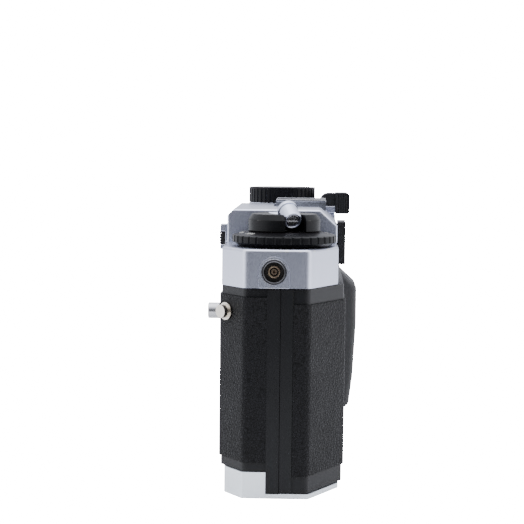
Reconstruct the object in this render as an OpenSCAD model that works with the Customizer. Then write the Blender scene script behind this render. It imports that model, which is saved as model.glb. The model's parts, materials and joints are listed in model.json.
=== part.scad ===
// A 35 mm film camera body without a lens, in millimetres.
// +X is the rewind end, -Y the front, +Y the film door, +Z up.
// The origin is the mouth of the tripod socket in the middle of the base.

/* [Body] */
// Overall width of the body
body_w = 138; // [134:1:170]
// Distance from the middle plane to the front leather
front_depth = 18.7; // [17.5:0.1:21]
// Distance from the middle plane to the leather on the film door
back_depth = 18.6; // [18:0.1:22]
// Height of the underside of the top cover
casting_top = 61.5; // [60:0.5:75]
// Height of the silver base cover on the front
base_h = 7.8; // [6:0.1:9]
// Thickness of the leather
leather_t = 0.6; // [0.4:0.1:0.8]
// Wall of the top and base covers
cover_wall = 1.2; // [1:0.1:1.6]
// Wall of the film door
door_wall = 1.5; // [1.2:0.1:1.8]

/* [Top cover] */
// Height of the rewind-side deck above the casting
left_deck_h = 11.2; // [10:0.1:14]
// Height of the lever-side deck above the rewind-side deck
right_deck_h = 6.3; // [5:0.1:8]
// Height of the finder housing above the rewind-side deck
housing_h = 10.2; // [9:0.1:14]
// Distance from the middle plane to the front of the top cover
cover_front = 18.2; // [17:0.1:18.4]
// Distance from the middle plane to the rear of the top cover
cover_back = 16.2; // [15:0.1:17]

/* [Lens mount] */
// Radius of the lens throat
throat_r = 22; // [20:0.1:23]
// Outer radius of the mount ring
mount_r = 26.2; // [25:0.1:26.6]
// Thickness of the mount ring in front of the casting
mount_t = 2.1; // [1.6:0.1:2.5]
// Height of the lens axis above the base
lens_z = 35; // [34.6:0.1:38]

/* [Film path] */
// Width of the film gate
gate_w = 36; // [32:0.5:36]
// Height of the film gate
gate_h = 24; // [20:0.5:24]
// Radius of the cassette chamber
cassette_r = 12.9; // [12.7:0.05:13]
// Radius of the take-up chamber
takeup_r = 12.6; // [11:0.1:12.8]

/* [Controls] */
// Radius of the film-speed ring
speed_ring_r = 15.5; // [14:0.1:16]
// Radius of the rewind knob
knob_r = 10.74; // [10.2:0.02:11]
// Height of the rewind knob
knob_h = 4.9; // [4.7:0.1:5.4]
// Radius of the shutter-speed dial
dial_r = 11.65; // [10:0.05:12]
// Height of the shutter-speed dial
dial_h = 5.2; // [4:0.1:6]
// Direction that the folded crank points, turned from the camera's end
crank_turn = 20; // [0:5:45]
// Radius of the crank handle
handle_r = 2.75; // [2.2:0.05:2.9]

/* [Fits] */
// Radial gap of a turning or sliding fit
run_gap = 0.05; // [0.02:0.01:0.08]
// Gap between panels that open or move past each other
panel_gap = 0.15; // [0.12:0.01:0.3]

/* [Hidden] */
$fn = 64;
eps = 0.01;

// Plan outline of the body: a flat end face between a front and a rear chamfer
half_w = body_w / 2;
end_front_y = 11;
end_back_y = 7.7;
front_chamfer_x = half_w - 11.3;
door_chamfer_x = half_w - 19.3;
cover_chamfer_x = half_w - 17;
corner_r = 2.5;
arc_steps = 6;

// Levels
base_floor = 1.5;
left_deck = casting_top + left_deck_h;
right_deck = left_deck + right_deck_h;
housing_top = left_deck + housing_h;
parting_y = -0.6;
leather_end_y = -4.4;
casting_front = front_depth - leather_t;
front_leather_low = base_h + 2.8;
front_leather_high = casting_top - 2.7;
door_leather_y = 3.1;
door_leather_low = 6.7;
door_leather_high = casting_top - 4.7;

// Ends of the finder housing
housing_x0 = -17;
slope_top_y = 10.8;
slope_low_z = housing_top - 4.9;

// Rewind axis, above the cassette
rewind_x = half_w - 17;
housing_x1 = rewind_x - speed_ring_r - 0.35;
shaft_r = 2.4;
collar_r = 5;
boss_r = 8.4;
ring_low = left_deck + 0.3;
ring_band_low = left_deck + 1.3;
ring_band_high = left_deck + 3.5;
ring_top = left_deck + 4.4;
knob_low = ring_top + 0.3;
knob_top = knob_low + knob_h;

// Folding crank, in the knob's own directions
pivot_u = -6.2;
pivot_z = knob_top - 1;
pivot_r = 0.75;
arm_t = 1.1;
arm_half = 2.9;
tilt_half = arm_half - 0.2;
arm_tilt = 60;
eye_u = 3.1;
eye_z = knob_top + 0.9;
eye_r = 3;
handle_l = 5.6;
crank_screw_r = 1.2;
crank_head_r = 1.9;

// Shutter-speed dial and its fixed collar
dial_x = -30;
dial_y = -2.4;
dial_collar_h = 3.9;
dial_low = right_deck + dial_collar_h + 0.1;
spindle_r = 3;

// Advance lever, around the release button
lever_x = -(half_w - 19);
lever_y = -2;
lever_low = right_deck + 0.5;
lever_t = 2.5;
hub_r = 7.5;
bush_r = 5.2;
button_r = 3.9;
cable_thread_r = 1.75;
tip_x0 = -34;
tip_x1 = -20;
tip_y0 = 16.4;
tip_y1 = 21.2;
tip_h = 7;

// Frame counter
counter_x = lever_x - 7.5;
counter_y = -8.5;
counter_r = 5.5;
counter_window_x = lever_x - 11;
counter_window_r = 2.6;
counter_pin_r = 0.8;

// Film path
chamber_low = 10.5;
chamber_high = casting_top - 3;
block_back = 5;
block_x = half_w - 5.5;
ledge_back = 8.2;
pocket_y = 2;
pocket_x = 20.6;
pocket_low = 13;
pocket_high = casting_top - 3.5;
gate_low = lens_z - gate_h / 2;
gate_back = 7.4;
film_plane = 7.6;
gate_x0 = -20.9;
gate_x1 = 36;
sprocket_x = -28.5;
sprocket_y = 3.2;
sprocket_r = 5;
sprocket_pocket_r = 6.4;
sprocket_shaft_r = 2;
spool_r = 6;
spool_shaft_r = 2.5;
perforation_rows = 28.17;

// Shutter blades, stacked below the gate when open
blade_t = 0.3;
blade_gap = 0.15;
blade_h = 9;
blade_lap = 0.9;
blade_top = gate_low + gate_h + 0.6;

// Film door and its hinge at the far end
door_low = base_floor + panel_gap;
door_high = casting_top - 0.2;
flange_y = 8.6;
hinge_x = -(half_w - 2.2);
hinge_y = 2.8;
hinge_r = 2.2;
hinge_pin_r = 1.2;
ear_h = 4.6;
ear_low = 3.2;
ear_high = casting_top - 1.9;
plate_x0 = -20;
plate_x1 = 32;
plate_half_h = 17;
plate_t = 1.2;
plate_front = film_plane + 0.5;
guide_r = 1.5;
guide_boss_r = 3;

// Thumb rest on the door
thumb_x = -36;
thumb_w = 20;
thumb_low = 9.5;
thumb_high = casting_top - 2;
thumb_out = 5.7;

// Battery and its cap in the base
battery_x = -32;
battery_y = -9.4;
battery_r = 5.8;
battery_hole_r = 6.1;
battery_cell_h = 5.4;
cap_r = 6.6;
cap_flange_t = 1.3;

// Hot shoe on the housing, to the usual accessory-foot sizes
shoe_half = 10.2;
shoe_slot_half = 9.35;
shoe_gap_half = 6.3;
shoe_slot_h = 2.05;
shoe_lip_t = 0.7;
shoe_y0 = -4.5;
shoe_y1 = 12.7;
shoe_rail_y0 = -3.5;
shoe_floor = housing_top - 0.55;
shoe_low = shoe_floor - 0.75;

// Flash sync socket on the end face
pc_y = -2.5;
pc_z = casting_top + 4.7;
pc_collar_r = 3.7;
pc_bore_r = 2.8;
pc_shell_r = 1.75;
pc_shell_bore_r = 1.35;
pc_pin_r = 0.86;
pc_deep = 7;
pc_arch_r = 4.45;
pc_arch_t = 0.35;

// Strap lugs on the front chamfers
lug_z = casting_top - 7.5;
lug_y = -16.4;
lug_x = half_w - 7.9;
lug_angle = 45;
lug_post_r = 1.95;
lug_flange_r = 2.6;
lug_hole_r = 0.75;
lug_hole_at = 1.65;
lug_l = 2.7;

// Base fittings
tripod_r = 3.175;
tripod_bush_r = 5.5;
tripod_deep = 7.5;
base_screw_x = [half_w - 9, 25, -(half_w - 11)];
base_screw_y = 2;
base_screw_r = 1.6;
base_shank_r = 0.9;
rewind_release_r = 2.2;

// Small controls on the front
release_x = 28.5;
release_z = lens_z + 15.5;
release_r = 2.55;
release_out = 5.5;
selector_x = housing_x1 - 3.65;
selector_low = left_deck - 2.3;
selector_high = left_deck + 5.4;
selector_out = 2.1;
selector_travel = 4;
mount_screw_r = 1.1;
mount_screw_ring = 24.1;

// Finder windows and eyepiece
window_t = 1;
window_y = -(cover_front - 0.2) + 0.5;
finder_x = 23;
finder_z = left_deck + 1.8;
eyepiece_x = 24;
eyepiece_out = 2.5;
eyepiece_low = left_deck - 6.9;
eyepiece_high = left_deck + 6.3;
eyepiece_r = 4.5;

function unit(v) = v / norm(v);

// The arc that rounds corner p1 between its neighbours
function round_corner(p0, p1, p2, r) =
    r <= 0 ? [p1] :
    let (a = unit(p0 - p1), b = unit(p2 - p1), h = acos(a * b) / 2)
    let (c = p1 + unit(a + b) * r / sin(h))
    let (s = p1 + a * r / tan(h) - c, e = p1 + b * r / tan(h) - c)
    let (start = atan2(s[1], s[0]), turn = atan2(s[0] * e[1] - s[1] * e[0], s * e))
    [for (i = [0:arc_steps]) c + r * [cos(start + turn * i / arc_steps),
        sin(start + turn * i / arc_steps)]];

function rounded(points, r) =
    let (n = len(points))
    [for (i = [0:n - 1]) each round_corner(points[(i + n - 1) % n], points[i], points[(i + 1) % n], r)];

// Corners of a plan outline with its front and rear planes, set in by t all round
function plan_corners(front, front_x, back, back_x, t) =
    let (af = atan2(half_w - front_x, front - end_front_y), ar = atan2(half_w - back_x, back - end_back_y))
    let (a = [front_x - t * tan((90 - af) / 2), t - front], b = [half_w - t, t * tan(af / 2) - end_front_y])
    let (c = [half_w - t, end_back_y - t * tan(ar / 2)], d = [back_x - t * tan((90 - ar) / 2), back - t])
    [a, b, c, d, [-d[0], d[1]], [-c[0], c[1]], [-b[0], b[1]], [-a[0], a[1]]];

module box(x0, x1, y0, y1, z0, z1) {
    translate([x0, y0, z0]) cube([x1 - x0, y1 - y0, z1 - z0]);
}

module rod(x, y, z0, z1, r) {
    translate([x, y, z0]) cylinder(r = r, h = z1 - z0);
}

module rod_x(y, z, x0, x1, r) {
    translate([x0, y, z]) rotate([0, 90, 0]) cylinder(r = r, h = x1 - x0);
}

module rod_y(x, z, y0, y1, r) {
    translate([x, y0, z]) rotate([-90, 0, 0]) cylinder(r = r, h = y1 - y0);
}

// A side profile of [y, z] points, drawn out along X
module profile_x(x0, x1, points) {
    translate([x0, 0, 0]) rotate([90, 0, 90]) linear_extrude(x1 - x0) polygon(points);
}

module body_slab(t, z0, z1, y0, y1) {
    intersection() {
        translate([0, 0, z0]) linear_extrude(z1 - z0)
            polygon(rounded(plan_corners(front_depth, front_chamfer_x, back_depth, door_chamfer_x,
                t), corner_r));
        box(-half_w - 1, half_w + 1, y0, y1, z0 - 1, z1 + 1);
    }
}

module cover_slab(t, z0, z1, x0, x1) {
    front_slope = (half_w - front_chamfer_x) / (front_depth - end_front_y);
    chamfer_x = half_w - (cover_front - end_front_y) * front_slope;
    intersection() {
        translate([0, 0, z0]) linear_extrude(z1 - z0)
            polygon(rounded(plan_corners(cover_front, chamfer_x, cover_back, cover_chamfer_x, t),
                corner_r));
        box(x0, x1, -half_w, half_w, z0 - 1, z1 + 1);
    }
}

// In the knob's own directions: u along the folded crank, z up
module knob_frame() {
    translate([rewind_x, 0, 0]) rotate([0, 0, crank_turn]) children();
}

module handle_frame() {
    knob_frame() translate([eye_u, 0, eye_z]) rotate([0, 180 - arm_tilt, 0]) children();
}

module body_casting() {
    color([0.10, 0.10, 0.11]) difference() {
        union() {
            body_slab(leather_t, base_h, casting_top, -front_depth, leather_end_y);
            body_slab(0, base_floor, casting_top, leather_end_y, parting_y);
            box(-block_x, block_x, parting_y - eps, block_back, base_floor, casting_top);
            box(-block_x + 1.5, block_x - 1.5, block_back - eps, ledge_back, base_floor, base_floor + 2.5);
            box(-block_x + 1.5, block_x - 1.5, block_back - eps, ledge_back, casting_top - 2.5,
                casting_top);
            for (z = [ear_low, ear_high - ear_h]) {
                box(hinge_x - 1.2, hinge_x + 1.8, parting_y - eps, hinge_y, z, z + ear_h);
                rod(hinge_x, hinge_y, z, z + ear_h, hinge_r - 0.3);
            }
        }
        rod(rewind_x, 0, chamber_low, chamber_high, cassette_r);
        rod(lever_x, lever_y, chamber_low, chamber_high, takeup_r);
        box(rewind_x - cassette_r, half_w - door_wall, 0, ledge_back + 1, chamber_low, chamber_high);
        rod(rewind_x, 0, chamber_high - 1, casting_top + 1, shaft_r + run_gap);
        rod(lever_x, lever_y, chamber_low - 5, casting_top + 1, spool_shaft_r + run_gap);
        rod(sprocket_x, sprocket_y, 12, casting_top - 3.5, sprocket_pocket_r);
        rod(sprocket_x, sprocket_y, 9, casting_top + 1, sprocket_shaft_r + run_gap);
        rod(sprocket_x, sprocket_y, 0, 9, rewind_release_r + run_gap);
        rod_y(0, lens_z, -front_depth, pocket_y - 1.2, throat_r + 0.6);
        box(-gate_w / 2 - 1, gate_w / 2 + 1, 0, 4, gate_low - 1, gate_low + gate_h + 1);
        box(-pocket_x, pocket_x, pocket_y, block_back + 1, pocket_low, pocket_high);
        rod(battery_x, battery_y, 0, base_h + 2 * battery_cell_h + 0.2, battery_hole_r);
        rod(0, 0, 0, tripod_deep, tripod_bush_r);
        rod_y(release_x, release_z, -front_depth, -12, release_r + run_gap);
        for (x = base_screw_x) rod(x, base_screw_y, 0, 6, base_shank_r);
        for (i = [0:3]) mount_screw(i, mount_screw_r, -16);
        for (z = [ear_low, ear_high - ear_h]) rod(hinge_x, hinge_y, z - 1, z + ear_h + 1, hinge_pin_r);
        for (side = [1, -1]) lug_part(side, lug_flange_r, -1.2, 1);
    }
}

module front_leather() {
    color([0.16, 0.16, 0.18]) difference() {
        body_slab(0, front_leather_low, front_leather_high, -front_depth - 1, leather_end_y);
        body_slab(leather_t, 0, casting_top + 1, -front_depth, leather_end_y + 1);
        rod_y(0, lens_z, -front_depth - 1, -10, mount_r + 0.1);
        rod_y(release_x, release_z, -front_depth - 1, -10, release_r + 0.7);
        for (side = [1, -1]) lug_part(side, lug_flange_r + 0.8, -3, 3);
    }
}

module finder_housing(t, z0) {
    front = cover_front - 0.2 - t;
    top = housing_top - t;
    back = cover_back - 0.1 - t;
    slope = t * tan(22.5);
    profile_x(housing_x0 + t, housing_x1 - t, [
        [-front, z0], [back, z0], [back, slope_low_z - slope],
        [slope_top_y - slope, top], [-front + 2, top], [-front, top - 2]
    ]);
}

module top_cover() {
    inner_left = left_deck - cover_wall;
    inner_right = right_deck - cover_wall;
    color([0.78, 0.79, 0.83]) difference() {
        union() {
            cover_slab(0, casting_top, left_deck, -half_w - 1, half_w + 1);
            cover_slab(0, left_deck - eps, right_deck, -half_w - 1, housing_x0 + 1);
            finder_housing(0, left_deck - eps);
            pc_arch();
        }
        difference() {
            union() {
                cover_slab(cover_wall, casting_top - 1, inner_left, -half_w - 1, half_w + 1);
                cover_slab(cover_wall, inner_left - eps, inner_right, -half_w - 1, housing_x0);
                finder_housing(cover_wall, inner_left - eps);
                box(housing_x0 - 1, housing_x0 + cover_wall + 1, -14, 12, inner_left, inner_right);
            }
            box(-shoe_half - 1, shoe_half + 1, shoe_y0 - 1, shoe_y1, shoe_low - cover_wall, housing_top);
        }
        box(-shoe_half, shoe_half, shoe_y0, shoe_y1, shoe_low, housing_top + 1);
        rod(rewind_x, 0, inner_left - 1, left_deck + 1, boss_r - 2);
        rod(dial_x, dial_y, inner_right - 1, right_deck + 1, spindle_r + run_gap);
        rod(lever_x, lever_y, inner_right - 1, right_deck + 1, bush_r);
        rod(counter_window_x, counter_y, inner_right - 1, right_deck + 1, counter_window_r);
        rod(counter_x, counter_y, inner_right - 1, inner_right + 0.7, counter_pin_r + run_gap);
        window_cut(finder_x, 6.5, 4.7);
        window_cut(7.5, 6, 3.6);
        window_cut(-9.75, 3.25, 3.2);
        box(eyepiece_x - 5, eyepiece_x + 5, cover_back - 3, cover_back + 1, finder_z - 4.2, finder_z + 3.4);
        box(selector_x - 2.8 - panel_gap, selector_x + 2.8 + panel_gap, -cover_front - 1,
            -cover_front + 0.2,
            selector_low - selector_travel - panel_gap, selector_high + panel_gap);
        box(selector_x - 1.1, selector_x + 1.1, -cover_front - 1, -cover_front + 3,
            selector_low + 2.6 - selector_travel, selector_low + 5.3);
        rod_x(pc_y, pc_z, half_w - 4, half_w + 1, pc_collar_r);
    }
}

// Raised arch round the sync socket, running down to the cover's lower edge
module pc_arch() {
    rod_x(pc_y, pc_z, half_w - cover_wall, half_w + pc_arch_t, pc_arch_r);
    box(half_w - cover_wall, half_w + pc_arch_t, pc_y - pc_arch_r, pc_y + pc_arch_r, casting_top, pc_z);
}

module window_cut(x, half_x, half_z) {
    box(x - half_x, x + half_x, -cover_front - 1, -cover_front + 3, finder_z - half_z, finder_z + half_z);
}

module window_pane(x, half_x, half_z) {
    box(x - half_x, x + half_x, window_y, window_y + window_t, finder_z - half_z, finder_z + half_z);
}

module base_cover() {
    color([0.85, 0.88, 0.91]) difference() {
        union() {
            base_slab(0, 0, base_h, -front_depth, leather_end_y);
            base_slab(0, 0, base_floor, leather_end_y - eps, back_depth);
        }
        base_slab(cover_wall, cover_wall, base_h + 1, -front_depth, leather_end_y - cover_wall);
        rod(0, 0, -1, tripod_deep + 1, tripod_bush_r);
        rod(battery_x, battery_y, -1, cover_wall + 1, cap_r + run_gap);
        rod(battery_x, battery_y, -1, base_h + 1, battery_hole_r);
        rod(sprocket_x, sprocket_y, -1, base_floor + 1, rewind_release_r + run_gap);
        for (x = base_screw_x) rod(x, base_screw_y, -1, base_floor + 1, base_screw_r);
    }
}

module base_slab(t, z0, z1, y0, y1) {
    side = 0.5;
    front = front_depth - 1.8;
    back = back_depth - 1.6;
    front_x = half_w - (front - end_front_y) * (half_w - front_chamfer_x) / (front_depth - end_front_y);
    back_x = half_w - (back - end_back_y) * (half_w - door_chamfer_x) / (back_depth - end_back_y);
    intersection() {
        translate([0, 0, z0]) linear_extrude(z1 - z0)
            polygon(rounded(plan_corners(front, front_x, back, back_x, t), corner_r));
        box(-half_w + side + t, half_w - side - t, y0, y1, z0 - 1, z1 + 1);
    }
}

module film_gate() {
    color([0.08, 0.08, 0.09]) difference() {
        union() {
            box(gate_x0, gate_x1, block_back, gate_back, base_floor + 3, casting_top - 3);
            for (side = [-1, 1]) {
                box(gate_x0, gate_x1, gate_back - eps, film_plane + 0.4,
                    lens_z + side * 18.3 - 0.5, lens_z + side * 18.3 + 0.5);
                box(gate_x0, gate_x1, gate_back - eps, film_plane, lens_z + side * 15 - 0.6,
                    lens_z + side * 15 + 0.6);
            }
        }
        box(-gate_w / 2, gate_w / 2, 0, 12, gate_low, gate_low + gate_h);
        rod(0, 0, 0, tripod_deep, tripod_bush_r);
    }
}

module shutter_frame() {
    color([0.12, 0.12, 0.13]) difference() {
        box(-pocket_x + 0.1, pocket_x - 0.1, pocket_y, pocket_y + 0.6, pocket_low + 0.1, pocket_high - 0.1);
        box(-gate_w / 2 - 0.5, gate_w / 2 + 0.5, 0, 5, gate_low - 0.5, gate_low + gate_h + 0.5);
    }
}

// Blade n of three, from the top down when the shutter is closed
module shutter_blade(n) {
    front = pocket_y + 0.6 + blade_gap + n * (blade_t + blade_gap);
    top = blade_top - n * (blade_h - blade_lap);
    color([0.30, 0.30, 0.32])
        box(-pocket_x + 0.4, pocket_x - 0.4, front, front + blade_t, top - blade_h, top);
}

module mount_screw(i, r, deep) {
    a = 45 + 90 * i;
    rod_y(mount_screw_ring * cos(a), lens_z + mount_screw_ring * sin(a),
        -casting_front - mount_t + 0.1, deep, r);
}

module lens_mount_ring() {
    color([0.80, 0.80, 0.80]) difference() {
        rod_y(0, lens_z, -casting_front - mount_t, -casting_front, mount_r);
        rod_y(0, lens_z, -casting_front - mount_t - 1, 0, throat_r);
        for (i = [0:3]) mount_screw(i, mount_screw_r, 0);
        for (i = [0:3]) translate([0, -1, 0]) mount_screw(i, mount_screw_r, 0);
    }
}

module mount_screws() {
    color([0.60, 0.60, 0.62]) for (i = [0:3]) mount_screw(i, mount_screw_r, -16);
}

module finder_block() {
    color([0.07, 0.07, 0.08]) difference() {
        box(finder_x - 8, selector_x - 1.5, window_y + window_t, cover_back - 2, casting_top,
            housing_top - 6);
        box(finder_x - 5, finder_x + 6, -cover_front, cover_back, finder_z - 4.2, finder_z + 3.2);
    }
}

module finder_window() {
    color([0.55, 0.65, 0.75, 0.5]) window_pane(finder_x, 6.5, 4.7);
}

module illumination_window() {
    color([0.85, 0.88, 0.90, 0.7]) window_pane(7.5, 6, 3.6);
}

module rangefinder_window() {
    color([0.60, 0.55, 0.45, 0.5]) window_pane(-9.75, 3.25, 3.2);
}

module eyepiece_frame() {
    y0 = cover_back;
    color([0.05, 0.05, 0.06]) difference() {
        box(eyepiece_x - 8, eyepiece_x + 8, y0, y0 + eyepiece_out, eyepiece_low, eyepiece_high);
        rod_y(eyepiece_x, finder_z - 0.4, y0 - 1, y0 + eyepiece_out + 1, eyepiece_r);
    }
}

module eyepiece_lens() {
    color([0.5, 0.6, 0.7, 0.4])
        rod_y(eyepiece_x, finder_z - 0.4, cover_back, cover_back + eyepiece_out - 0.8, eyepiece_r);
}

module hot_shoe() {
    wall_top = shoe_floor + shoe_slot_h;
    color([0.82, 0.82, 0.84]) {
        difference() {
            union() {
                box(-shoe_half, shoe_half, shoe_y0, shoe_y1, shoe_low, shoe_floor);
                for (side = [-1, 1]) {
                    wall_x = side > 0 ? shoe_slot_half : -shoe_half;
                    lip_x = side > 0 ? shoe_gap_half : -shoe_half - 0.3;
                    box(wall_x, wall_x + shoe_half - shoe_slot_half, shoe_rail_y0, shoe_y1,
                        shoe_low, wall_top + eps);
                    box(lip_x, lip_x + shoe_half + 0.3 - shoe_gap_half, shoe_rail_y0, shoe_y1,
                        wall_top, wall_top + shoe_lip_t);
                }
                box(-shoe_half, shoe_half, shoe_rail_y0, shoe_rail_y0 + 0.8, shoe_floor - eps,
                    shoe_floor + 0.7);
            }
            rod(0, (shoe_y0 + shoe_y1) / 2, shoe_low - 1, shoe_floor + 1, 2.2);
        }
    }
}

module shoe_contact() {
    color([0.75, 0.70, 0.55]) {
        rod(0, (shoe_y0 + shoe_y1) / 2, shoe_low, shoe_floor, 2.2);
        rod(0, (shoe_y0 + shoe_y1) / 2, shoe_floor, shoe_floor + 0.2, 1.2);
    }
}

module shoe_spring() {
    color([0.7, 0.7, 0.72]) for (side = [-1, 1]) {
        x = side > 0 ? shoe_gap_half + 1 : -shoe_gap_half - 2.4;
        box(x, x + 1.4, shoe_rail_y0 + 1.2, shoe_y1 - 1, shoe_floor, shoe_floor + 0.25);
    }
}

module pc_collar() {
    color([0.80, 0.80, 0.83]) difference() {
        rod_x(pc_y, pc_z, half_w - pc_deep, half_w + pc_arch_t + 0.1, pc_collar_r);
        rod_x(pc_y, pc_z, half_w - pc_deep - 1, half_w + 2, pc_bore_r);
    }
}

module pc_insulator() {
    color([0.06, 0.05, 0.05]) {
        difference() {
            rod_x(pc_y, pc_z, half_w - pc_deep, half_w - 1.6, pc_bore_r);
            rod_x(pc_y, pc_z, half_w - pc_deep - 1, half_w, pc_shell_r);
        }
        difference() {
            rod_x(pc_y, pc_z, half_w - pc_deep, half_w - 2, pc_shell_bore_r);
            rod_x(pc_y, pc_z, half_w - pc_deep - 1, half_w, pc_pin_r);
        }
    }
}

module pc_shell() {
    color([0.66, 0.55, 0.40]) difference() {
        rod_x(pc_y, pc_z, half_w - pc_deep, half_w - 0.1, pc_shell_r);
        rod_x(pc_y, pc_z, half_w - pc_deep - 1, half_w + 1, pc_shell_bore_r);
    }
}

module pc_pin() {
    color([0.55, 0.42, 0.30]) difference() {
        rod_x(pc_y, pc_z, half_w - pc_deep, half_w - 0.8, pc_pin_r);
        rod_x(pc_y, pc_z, half_w - 3, half_w, 0.45);
    }
}

// A round piece on a strap lug's axis, from z0 to z1 out of the chamfer
module lug_part(side, r, z0, z1) {
    translate([side * lug_x, lug_y, lug_z]) rotate([0, 0, side > 0 ? -lug_angle : lug_angle - 180])
        translate([z0, 0, 0]) rotate([0, 90, 0]) cylinder(r = r, h = z1 - z0);
}

module strap_lug(side) {
    color([0.80, 0.77, 0.72]) difference() {
        union() {
            lug_part(side, lug_flange_r, -1.2, 0.8);
            lug_part(side, lug_post_r, 0, lug_l);
        }
        translate([side * lug_x, lug_y, lug_z]) rotate([0, 0, side > 0 ? -lug_angle : lug_angle - 180])
            translate([lug_hole_at, 0, -5]) cylinder(r = lug_hole_r, h = 10);
    }
}

module tripod_bush() {
    color([0.75, 0.75, 0.77]) difference() {
        rod(0, 0, 0, tripod_deep, tripod_bush_r);
        rod(0, 0, -1, tripod_deep + 1, tripod_r);
    }
}

module base_screws() {
    color([0.70, 0.72, 0.74]) for (x = base_screw_x) {
        difference() {
            rod(x, base_screw_y, 0.1, base_floor, base_screw_r);
            box(x - base_screw_r, x + base_screw_r, base_screw_y - 0.25, base_screw_y + 0.25, 0, 0.6);
            box(x - 0.25, x + 0.25, base_screw_y - base_screw_r, base_screw_y + base_screw_r, 0, 0.6);
        }
        rod(x, base_screw_y, base_floor - eps, 6, base_shank_r);
    }
}

module rewind_boss() {
    color([0.10, 0.10, 0.11]) difference() {
        union() {
            rod(rewind_x, 0, left_deck, ring_top - 0.1, boss_r);
            rod(rewind_x, 0, left_deck - cover_wall, left_deck + eps, boss_r - 2);
        }
        rod(rewind_x, 0, left_deck - 5, ring_top + 1, collar_r + run_gap);
    }
}

module rewind_collar() {
    color([0.15, 0.15, 0.16]) difference() {
        rod(rewind_x, 0, left_deck - 6, knob_low - 0.05, collar_r);
        rod(rewind_x, 0, left_deck - 7, knob_low + 1, shaft_r + run_gap);
    }
}

module rewind_shaft() {
    fork_low = chamber_high - 6.5;
    color([0.65, 0.65, 0.67]) difference() {
        rod(rewind_x, 0, fork_low, knob_low, shaft_r);
        box(rewind_x - 0.7, rewind_x + 0.7, -3, 3, fork_low - 1, fork_low + 4);
    }
}

module rewind_knob() {
    color([0.09, 0.09, 0.10]) difference() {
        translate([rewind_x, 0, 0]) rotate_extrude() polygon([
            [0, knob_low], [knob_r, knob_low], [knob_r, knob_top - 1.7], [knob_r - 1.14, knob_top],
                [0, knob_top]
        ]);
        knob_frame() {
            box(pivot_u - 1.5, knob_r + 1, -arm_half - 0.25, arm_half + 0.25, pivot_z - 1.35, knob_top + 1);
            box(shaft_r + 0.2, knob_r + 1, -handle_r - 0.5, handle_r + 0.5, knob_low - 1, knob_top + 1);
            rod_y(pivot_u, pivot_z, -7, 7, pivot_r);
        }
    }
}

module crank_pin() {
    color([0.7, 0.7, 0.72]) knob_frame() rod_y(pivot_u, pivot_z, -7, 7, pivot_r);
}

module crank_arm() {
    color([0.72, 0.74, 0.78]) difference() {
        union() {
            knob_frame() {
                box(pivot_u, eye_u - 1.5, -arm_half, arm_half, pivot_z - arm_t / 2, pivot_z + arm_t / 2);
                rod_y(pivot_u, pivot_z, -arm_half, arm_half, 1.25);
            }
            handle_frame() {
                box(0, 2.6, -tilt_half, tilt_half, -arm_t, 0);
                rod(0, 0, -arm_t, 0, eye_r);
            }
        }
        knob_frame() rod_y(pivot_u, pivot_z, -7, 7, pivot_r + run_gap);
        handle_frame() rod(0, 0, -arm_t - 1, 1, crank_screw_r);
    }
}

module crank_screw() {
    head_low = handle_l - 1;
    color([0.45, 0.46, 0.5]) handle_frame() difference() {
        union() {
            rod(0, 0, -arm_t, head_low + eps, crank_screw_r);
            rod(0, 0, head_low, handle_l - 0.35, crank_head_r);
        }
        box(-0.25, 0.25, -3, 3, handle_l - 0.7, handle_l);
    }
}

module crank_handle() {
    color([0.82, 0.84, 0.88]) handle_frame() difference() {
        rod(0, 0, run_gap, handle_l, handle_r);
        rod(0, 0, -1, handle_l + 1, crank_screw_r + run_gap);
        rod(0, 0, handle_l - 1.1, handle_l + 1, crank_head_r + 0.15);
    }
}

module film_speed_ring() {
    scallops = 36;
    color([0.08, 0.08, 0.09]) difference() {
        translate([rewind_x, 0, 0]) rotate_extrude() polygon([
            [boss_r + run_gap, ring_low], [speed_ring_r - 1.6, ring_low], [speed_ring_r - 0.5,
                ring_band_low],
            [speed_ring_r, ring_band_low], [speed_ring_r, ring_band_high - 0.3],
                [speed_ring_r - 0.6, ring_band_high],
            [knob_r + 0.2, ring_top], [boss_r + run_gap, ring_top]
        ]);
        for (i = [0:scallops - 1]) rotate_about(rewind_x, 0, i * 360 / scallops)
            rod(speed_ring_r + 0.35, 0, ring_band_low - 0.01, ring_band_high + 1, 0.6);
    }
}

module rotate_about(x, y, a) {
    translate([x, y, 0]) rotate([0, 0, a]) children();
}

module dial_collar() {
    color([0.84, 0.85, 0.88]) difference() {
        rod(dial_x, dial_y, right_deck, right_deck + dial_collar_h, dial_r);
        rod(dial_x, dial_y, right_deck - 1, right_deck + dial_collar_h + 1, spindle_r + run_gap);
    }
}

module shutter_dial() {
    ribs = 40;
    color([0.08, 0.08, 0.09]) {
        difference() {
            rod(dial_x, dial_y, dial_low, dial_low + dial_h, dial_r);
            for (i = [0:ribs - 1]) rotate_about(dial_x, dial_y, i * 360 / ribs)
                rod(dial_r + 0.2, 0, dial_low - 1, dial_low + dial_h - 0.6, 0.5);
        }
        rod(dial_x, dial_y, right_deck - cover_wall, dial_low + eps, spindle_r);
    }
}

module release_bush() {
    color([0.80, 0.81, 0.84]) difference() {
        rod(lever_x, lever_y, right_deck - cover_wall, lever_low + lever_t + 2.6, bush_r);
        rod(lever_x, lever_y, right_deck - 3, lever_low + lever_t + 4, button_r + run_gap);
    }
}

module release_button() {
    top = lever_low + lever_t + 4.2;
    color([0.75, 0.76, 0.78]) difference() {
        rod(lever_x, lever_y, right_deck + 0.8, top, button_r);
        rod(lever_x, lever_y, top - 4.5, top + 1, cable_thread_r);
    }
}

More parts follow.
